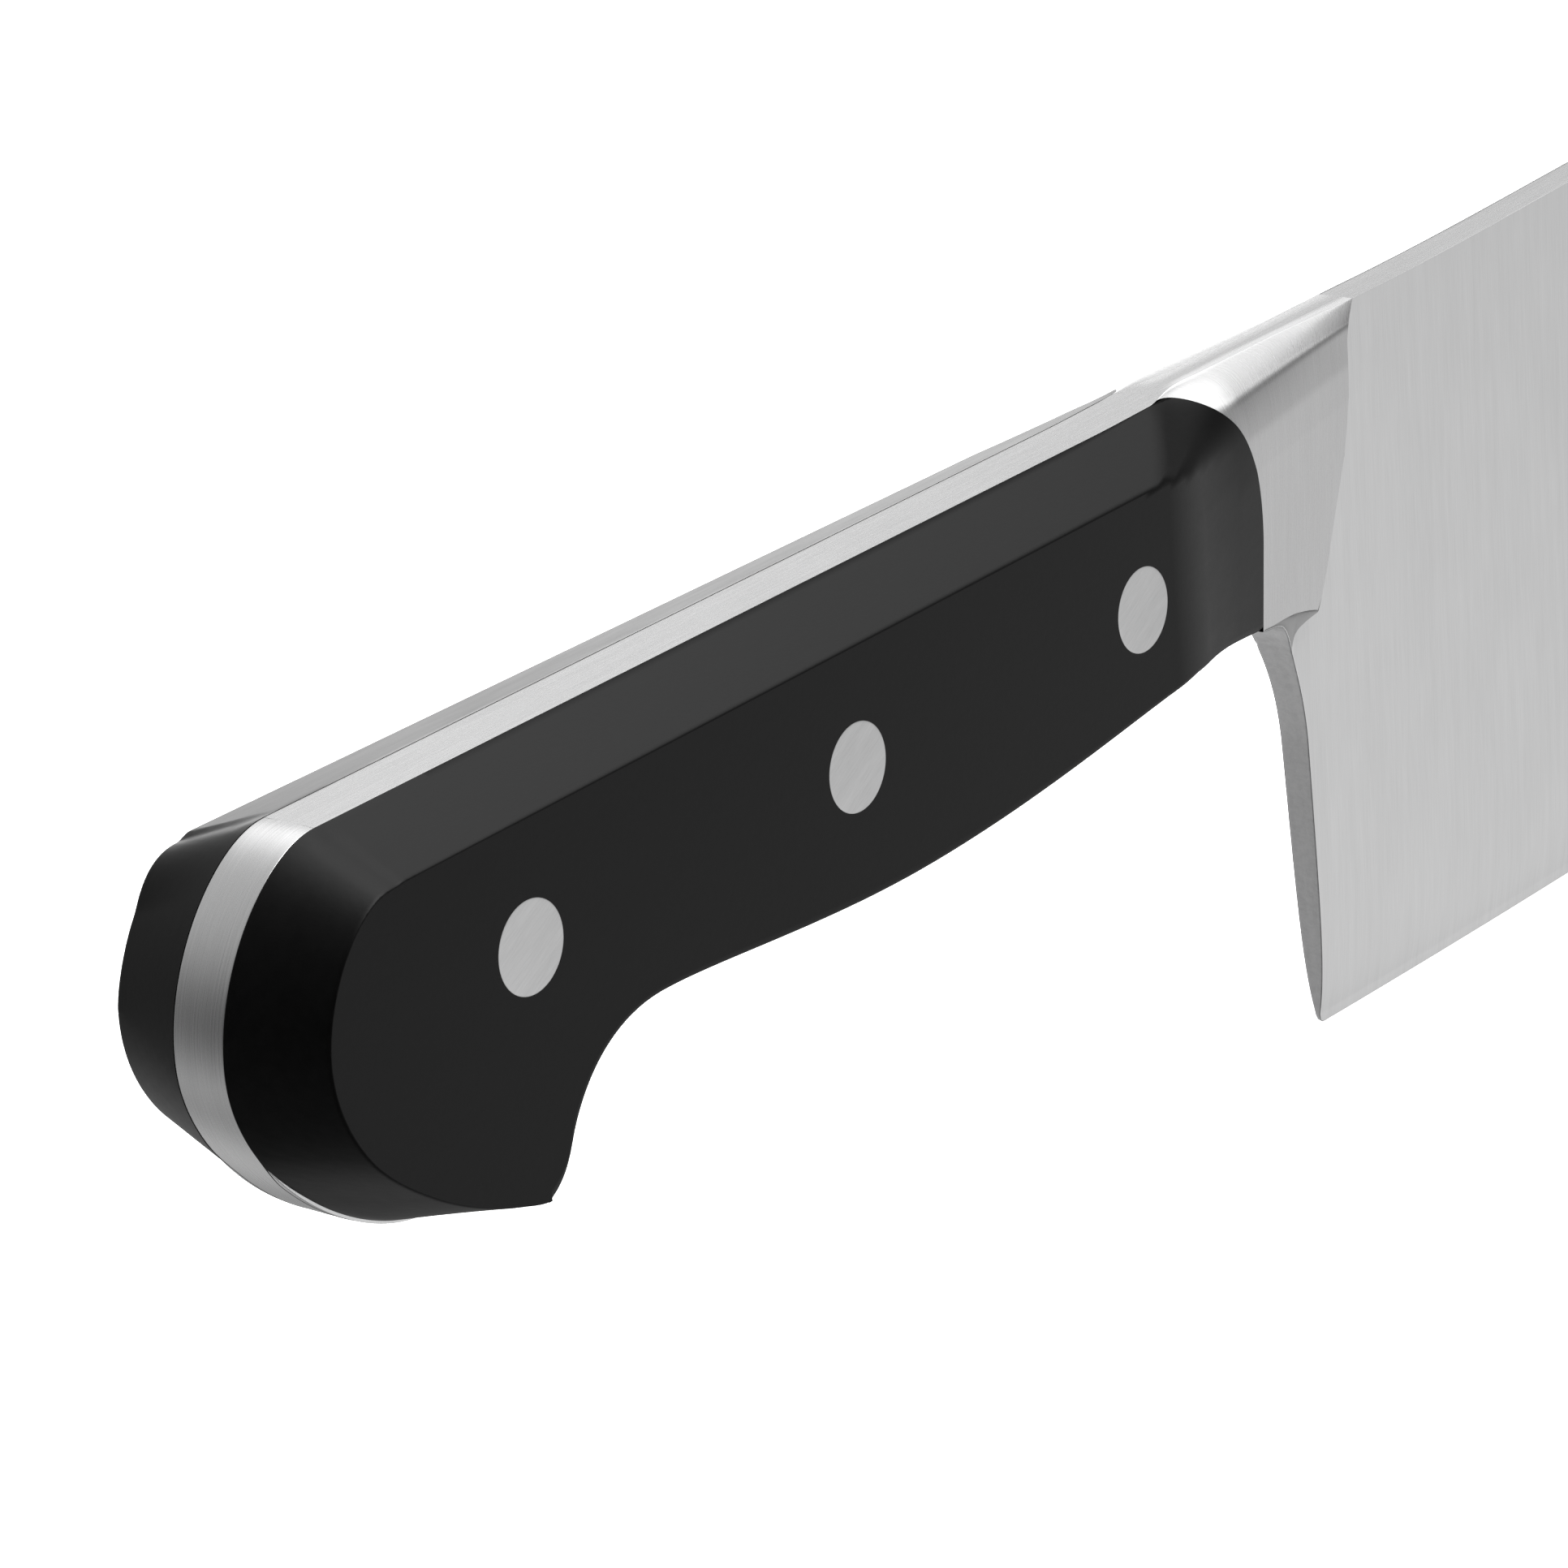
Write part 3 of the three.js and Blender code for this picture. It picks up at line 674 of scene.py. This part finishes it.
def add_bolster_side(sheets, sign):
    """One side of the bolster. Its normals are tilted along the crest and under it."""
    x, z, u, crease = bolster_grid()
    seam = blade_half(crease[:, 0], crease[:, 1]) - envelope(crease[:, 0], crease[:, 1], True)
    points, normals = sheet_points(x, z, lambda a, b: envelope(a, b, sign < 0), sign)
    points[..., 1] += sign * seam[None] * u ** 3
    normals[..., 2] += BAND_LEAN * smoothstep(*BAND_Z, z)
    if sign < 0:
        lean, steep = CREST_LEAN, smoothstep(*CREST_RIGHT_Z, z)
    else:
        lean, steep = FAR_LEAN, smoothstep(*CREST_LEFT_STEEPNESS, normals[..., 2])
    steep = (steep * smoothstep(*CREST_START_SPAN, x))[..., None]
    crest = np.stack([normals[..., 0] * 0.3, np.full_like(x, sign * lean), np.ones_like(x)], -1)
    normals = unit(mix(normals, unit(crest), steep))
    sheets.add(points, normals, None, STEEL_BOLSTER)


def add_cove(sheets, sign):
    """The concave fillet that runs from the lower edge of the bolster to the blade face."""
    is_behind = (CHOIL[:, 0] < COVE_CHOIL_END[0]) & (CHOIL[:, 1] > COVE_CHOIL_END[1])
    fractions = np.linspace(0, 1, 60)
    low = resample(np.vstack([CHOIL[is_behind], COVE_FOOT]), fractions)
    high = resample(LIP, fractions)
    to_blade = smoothstep(0.0, 0.62, fractions)
    y_low = mix(taper_half(*SCALE_CORNER), blade_half(low[:, 0], low[:, 1]), to_blade)
    y_high = envelope(high[:, 0], high[:, 1], sign < 0)
    t = np.linspace(0, 1, 14)[:, None]
    ease = 1 - np.sqrt(np.maximum(1 - t * t, 0))
    x = mix(low[None, :, 0], high[None, :, 0], t)
    z = mix(low[None, :, 1], high[None, :, 1], t)
    y = sign * mix(y_low[None], y_high[None], mix(t, ease, 0.8))
    # The cove takes the darker, painted-shade copy of the steel.
    sheets.add(np.stack([x, y, z], -1), None, None, STEEL_COVE_PAINTED_SHADE, flip=sign < 0)
    return low, y_low


def add_blade_faces(sheets, u):
    """Both faces of the blade. Returns the side-view line of the cutting edge."""
    choil = CHOIL[CHOIL[:, 1] < COVE_FOOT_Z][::-1]
    left = resample(np.vstack([choil, COVE_FOOT, CREASE[1:]]), np.linspace(0, 1, 260))
    height = (left[:, 1] - edge_z(left[:, 0])) / (spine_z(left[:, 0]) - edge_z(left[:, 0]))
    height = np.maximum.accumulate(clamp(height))
    height[-1] = 1
    x = mix(left[None, :, 0], TIP[0], u[:, None])
    z = mix(edge_z(x), spine_z(x), height[None])
    for sign in (-1, 1):
        points, normals = sheet_points(x, z, blade_half, sign)
        sheets.add(points, normals, None, STEEL_FLAT)
    return np.stack([x[:, 0], edge_z(x[:, 0])], 1)


def add_blade(sheets):
    u = np.r_[0, 0.0006, 0.002, 0.005, 0.009, np.linspace(0.015, 1, 150)]
    cutting_edge = add_blade_faces(sheets, u)
    xs = mix(CREASE_TOP_X, TIP[0], u)
    spine = np.stack([xs, spine_z(xs)], 1)
    points = rim(spine, blade_half(xs, spine_z(xs)), outward_of(spine, -1), SPINE_CROWN)
    sheets.add(points, None, arc_brush(spine, points), STEEL_RIM)
    tip = np.array([(TIP[0], TIP[1] - TIP_HALF_HEIGHT), (TIP[0], TIP[1] + TIP_HALF_HEIGHT)])
    for line in (cutting_edge, tip):
        width = blade_half(line[:, 0], line[:, 1])
        points = rim(line, width, outward_of(line, 1), radius=EDGE_RADIUS)
        sheets.add(points, None, arc_brush(line, points), STEEL_RIM, flip=True)


def add_choil(sheets, low, y_low):
    """Strip down the back of the blade, from the cove's lower line to the heel."""
    blade_part = CHOIL[CHOIL[:, 1] < COVE_FOOT_Z]
    neck_end = int(np.argmin(low[:, 1])) + 1
    line = np.vstack([low[:neck_end], blade_part])
    width = np.r_[y_low[:neck_end], blade_half(blade_part[:, 0], blade_part[:, 1])]
    points = rim(line, width, outward_of(line, 1), radius=CHOIL_RADIUS)
    # The choil strip takes the lighter, painted-light copy of the steel.
    sheets.add(points, None, arc_brush(line, points), STEEL_CHOIL_PAINTED_LIGHT)


def build_forging(materials):
    sheets = Sheets()
    add_butt_strip(sheets)
    add_top_strip(sheets)
    add_belly_strip(sheets)
    add_tang_sides(sheets)
    for sign in (-1, 1):
        add_bolster_side(sheets, sign)
        low, y_low = add_cove(sheets, sign)
    add_blade(sheets)
    add_choil(sheets, low, y_low)
    return sheets.build("forging", materials)


# ---- rivets --------------------------------------------------------------------------
# Each profile lists (radius, depth inwards from the side of the scale).
HEAD_PROFILE = [
    (AXIS_RADIUS, -0.035), (0.8, -0.034), (1.6, -0.032), (2.4, -0.028), (3.0, -0.022), (3.15, -0.016),
    (3.22, 0.0), (HEAD_RADIUS, 0.04), (HEAD_RADIUS, 0.5), (HEAD_RADIUS, HEAD_THICKNESS)]
FEMALE_PROFILE = HEAD_PROFILE + [
    (BARREL_RADIUS, HEAD_THICKNESS), (BARREL_RADIUS, SHANK_MIDDLE_DEPTH), (BARREL_RADIUS, SHANK_END_DEPTH),
    (BORE_RADIUS, SHANK_END_DEPTH), (BORE_RADIUS, 4.0), (AXIS_RADIUS, 3.2)]
MALE_PROFILE = HEAD_PROFILE + [
    (PIN_RADIUS, HEAD_THICKNESS), (PIN_RADIUS, SHANK_MIDDLE_DEPTH), (PIN_RADIUS, SHANK_END_DEPTH),
    (AXIS_RADIUS, SHANK_END_DEPTH)]
GRINDING_SLANT = math.radians(28)
GRINDING_SHIFT = 7.3


def build_rivet(name, x0, sign, profile, materials):
    """Turned piece on a rivet axis, with slanted grinding marks that differ between rivets."""
    sheets = Sheets()
    radius, depth = np.array(profile).T[..., None]
    angle = np.linspace(0, 2 * math.pi, 96, endpoint=False)[None]
    x = x0 + radius * np.cos(angle)
    z = radius * np.sin(angle)
    lean = SIDE_TAPER * (x - x0)
    y = sign * (side_half(x0) - depth - lean)
    sine, cosine = math.sin(GRINDING_SLANT), math.cos(GRINDING_SLANT)
    brush = np.stack([x * sine - z * cosine + GRINDING_SHIFT * x0, x * cosine + z * sine], -1)
    sheets.add(np.stack([x, y, z], -1), None, brush, flip=sign < 0, closed=True)
    return sheets.build(name, materials)


# ---- materials -----------------------------------------------------------------------
class Nodes:
    """Short way to wire a node tree."""

    def __init__(self, tree):
        self.tree = tree

    def new(self, kind):
        return self.tree.nodes.new(kind)

    def link(self, source, target):
        self.tree.links.new(source, target)

    def math(self, operation, *values):
        node = self.new("ShaderNodeMath")
        node.operation = operation
        for i, value in enumerate(values):
            if isinstance(value, (int, float)):
                node.inputs[i].default_value = value
            else:
                self.link(value, node.inputs[i])
        return node.outputs[0]

    def blend(self, first, *others):
        """Sum of (value, share) pairs."""
        total = self.math("MULTIPLY", *first)
        for pair in others:
            total = self.math("ADD", total, self.math("MULTIPLY", *pair))
        return total

    def noise(self, place, scale, detail, roughness):
        """Noise over coordinates that are first stretched by scale."""
        mapping = self.new("ShaderNodeMapping")
        mapping.inputs["Scale"].default_value = scale
        self.link(place, mapping.inputs["Vector"])
        node = self.new("ShaderNodeTexNoise")
        node.inputs["Scale"].default_value = 1.0
        node.inputs["Detail"].default_value = detail
        node.inputs["Roughness"].default_value = roughness
        self.link(mapping.outputs[0], node.inputs["Vector"])
        return node.outputs["Fac"]

    def span(self, value, low, high):
        node = self.new("ShaderNodeMapRange")
        node.inputs["To Min"].default_value = low
        node.inputs["To Max"].default_value = high
        self.link(value, node.inputs["Value"])
        return node.outputs["Result"]

    def grey(self, value, low, high):
        """Grey with a trace of blue, over the middle of the noise's range."""
        blue = 1.003
        node = self.new("ShaderNodeValToRGB")
        dark, light = node.color_ramp.elements
        dark.position, light.position = 0.3, 0.7
        dark.color = (low, low, low * blue, 1)
        light.color = (high, high, high * blue, 1)
        self.link(value, node.inputs["Fac"])
        return node.outputs["Color"]

    def bump(self, height, millimetres, shader):
        node = self.new("ShaderNodeBump")
        node.inputs["Strength"].default_value = 1.0
        node.inputs["Distance"].default_value = millimetres / MM_PER_METRE
        self.link(height, node.inputs["Height"])
        self.link(node.outputs["Normal"], shader.inputs["Normal"])


def new_material(name):
    material = bpy.data.materials.new(name)
    material.use_nodes = True
    return material, Nodes(material.node_tree), material.node_tree.nodes["Principled BSDF"]


def brushed_steel(name, base, roughness, fine=9.0, stretch=0.18, bump=0.012, contrast=0.08, grain=0.0):
    """Ground steel. Brush coordinates are millimetres across and along the grinding marks."""
    material, nodes, shader = new_material(name)
    uv = nodes.new("ShaderNodeUVMap")
    uv.uv_map = "brush"
    place = uv.outputs["UV"]
    lines = nodes.noise(place, (fine, stretch, 1), detail=4, roughness=0.65)
    broad = nodes.noise(place, (1.1, 0.05, 1), detail=2, roughness=0.5)
    cloud = nodes.noise(place, (0.12, 0.09, 1), detail=2, roughness=0.5)
    mixed = nodes.blend((lines, 0.55), (broad, 0.25), (cloud, 0.2))
    shade = nodes.grey(mixed, base * (1 - contrast), base * (1 + contrast))
    nodes.link(shade, shader.inputs["Base Color"])
    nodes.link(nodes.span(lines, roughness * 0.85, roughness * 1.15), shader.inputs["Roughness"])
    shader.inputs["Metallic"].default_value = 1.0
    height = lines
    if grain:
        speck = nodes.noise(place, (6, 6, 1), detail=3, roughness=0.6)
        height = nodes.math("ADD", lines, nodes.math("MULTIPLY", speck, grain))
    nodes.bump(height, bump, shader)
    return material


def black_plastic(name):
    """Satin black plastic with faint streaks along the handle."""
    material, nodes, shader = new_material(name)
    place = nodes.new("ShaderNodeTexCoord").outputs["Object"]
    fine = nodes.noise(place, (1500, 1500, 1500), detail=4, roughness=0.6)
    streak = nodes.noise(place, (160, 900, 900), detail=3, roughness=0.6)
    patch = nodes.noise(place, (45, 60, 60), detail=2, roughness=0.5)
    mixed = nodes.blend((streak, 0.5), (patch, 0.5))
    nodes.link(nodes.grey(mixed, 0.0010, 0.0020), shader.inputs["Base Color"])
    nodes.link(nodes.span(mixed, 0.30, 0.42), shader.inputs["Roughness"])
    shader.inputs["Specular IOR Level"].default_value = 0.1
    nodes.bump(nodes.math("ADD", fine, nodes.math("MULTIPLY", streak, 0.6)), 0.006, shader)
    return material


# ---- pieces on the frame -------------------------------------------------------------
blade_steel = brushed_steel("blade_steel", 0.56, 0.30)
bolster_steel = brushed_steel("bolster_steel", 0.56, 0.28, bump=0.01, grain=0.5)
rim_steel = brushed_steel("rim_steel", 0.56, 0.27, fine=7.0, stretch=0.12)
# Painted light: the choil gets a much lighter copy of the forging's steel (base 0.95 against 0.56), so the
# back of the blade shows brighter than its lighting makes it.
choil_steel_painted_light = brushed_steel("choil_steel_painted_light", 0.95, 0.46, fine=1.2, stretch=1.6, bump=0.02, contrast=0.16)
# Painted shade: the cove fillet under the bolster gets a darker copy of the same steel (base 0.34 against
# 0.56), standing in for the shade in that recess.
cove_steel_painted_shade = brushed_steel("cove_steel_painted_shade", 0.34, 0.42, fine=2.0, stretch=1.6, bump=0.015, contrast=0.1)
rivet_steel = brushed_steel("rivet_steel", 0.46, 0.33, fine=7.0, stretch=0.5, bump=0.01, contrast=0.12)
plastic = black_plastic("scale_plastic")

forging = build_forging([blade_steel, bolster_steel, rim_steel, choil_steel_painted_light, cove_steel_painted_shade])
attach(forging, "root")
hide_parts("blade_bolster_tang")

SCALES = (("right_handle_scale", -1, True, RIGHT_BEVEL), ("left_handle_scale", 1, False, LEFT_BEVEL))
for name, sign, has_facet, factor_high in SCALES:
    scale = build_scale(name, sign, has_facet, factor_high, [plastic])
    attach(scale, "root")
    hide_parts(name.replace("_handle", ""))

for place, x0 in zip(("rear", "middle", "front"), RIVET_X):
    for half_name, sign, profile in (("female", -1, FEMALE_PROFILE), ("male", 1, MALE_PROFILE)):
        rivet = build_rivet(f"{place}_rivet_{half_name}_turned", x0, sign, profile, [rivet_steel])
        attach(rivet, "root")
        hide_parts(f"{place}_rivet_{half_name}")

# ---- floor, light and camera ---------------------------------------------------------
FLOOR_HALF = 6
FLOOR_GLOW = 0.6
AMBIENT = 0.02
# Soft lights, each a direction towards the light, its sharpness and its strength.
LOBES = [
    ((0.20, -0.10, 0.97), 16.0, 10.7),
    ((0.60, 0.30, 0.75), 16.0, 1.9),
    ((0.38, 0.66, 0.65), 16.0, 1.1),
    ((0.72, 0.69, -0.12), 24.0, 2.9),
    ((0.60, -0.75, -0.50), 4.0, 1.08),
    ((0.90, -0.10, -0.45), 16.0, 0.33),
    ((0.05, 0.97, 0.10), 6.0, 0.4),
    ((-0.25, 0.67, 0.70), 16.0, 0.46),
    ((-0.58, 0.67, 0.46), 16.0, 0.4),
    ((-0.60, 0.64, -0.50), 16.0, 0.5),
    ((0.08, 0.66, -0.75), 16.0, 0.65),
    ((0.10, -0.80, 0.60), 4.0, 0.5),
]
CAMERA_LENS = 126.82
CAMERA_SENSOR = 36.0
CAMERA_PLACE = (-0.39603, -0.23001, 0.18114)
CAMERA_FORWARD = (0.72102, 0.59658, -0.35245)
CAMERA_RIGHT = (0.61028, -0.78764, -0.08473)


def build_floor():
    """Pale floor that glows a little and doesn't show in reflections."""
    mesh = bpy.data.meshes.new("floor")
    corners = [(-1, -1), (1, -1), (1, 1), (-1, 1)]
    mesh.from_pydata([(FLOOR_HALF * x, FLOOR_HALF * y, 0) for x, y in corners], [], [(0, 1, 2, 3)])
    material, _, shader = new_material("floor_paper")
    shader.inputs["Base Color"].default_value = (0.9, 0.9, 0.9, 1)
    shader.inputs["Roughness"].default_value = 0.9
    shader.inputs["Specular IOR Level"].default_value = 0.0
    shader.inputs["Emission Color"].default_value = (1, 1, 1, 1)
    shader.inputs["Emission Strength"].default_value = FLOOR_GLOW
    mesh.materials.append(material)
    floor = bpy.data.objects.new("floor", mesh)
    bpy.context.scene.collection.objects.link(floor)
    floor.visible_glossy = False
    return floor


def build_sky():
    """World of soft lights that the camera itself sees as plain white."""
    world = bpy.data.worlds.new("studio")
    bpy.context.scene.world = world
    world.use_nodes = True
    background = world.node_tree.nodes["Background"]
    sky = Nodes(world.node_tree)
    direction = sky.new("ShaderNodeTexCoord").outputs["Generated"]
    total = AMBIENT
    for axis, sharpness, strength in LOBES:
        dot = sky.new("ShaderNodeVectorMath")
        dot.operation = "DOT_PRODUCT"
        sky.link(direction, dot.inputs[0])
        dot.inputs[1].default_value = unit(np.array(axis))
        power = sky.math("MULTIPLY", sky.math("SUBTRACT", dot.outputs["Value"], 1.0), sharpness)
        lobe = sky.math("MULTIPLY", sky.math("EXPONENT", power), strength)
        total = sky.math("ADD", lobe, total)
    is_camera = sky.new("ShaderNodeLightPath").outputs["Is Camera Ray"]
    lit = sky.math("MULTIPLY", total, sky.math("SUBTRACT", 1.0, is_camera))
    sky.link(sky.math("ADD", lit, is_camera), background.inputs["Strength"])
    background.inputs["Color"].default_value = (1, 1, 1, 1)


def build_camera():
    """Camera at the photograph's place. Its right axis is squared up to its forward axis."""
    data = bpy.data.cameras.new("camera")
    data.lens = CAMERA_LENS
    data.sensor_width = CAMERA_SENSOR
    camera = bpy.data.objects.new("camera", data)
    bpy.context.scene.collection.objects.link(camera)
    forward = unit(np.array(CAMERA_FORWARD))
    right = np.array(CAMERA_RIGHT)
    right = unit(right - forward * right.dot(forward))
    pose = np.eye(4)
    pose[:3, 0], pose[:3, 1], pose[:3, 2] = right, np.cross(right, forward), -forward
    pose[:3, 3] = CAMERA_PLACE
    camera.matrix_world = Matrix(pose.tolist())
    bpy.context.scene.camera = camera


floor = build_floor()
build_sky()
build_camera()
bpy.context.scene.view_settings.view_transform = "Standard"
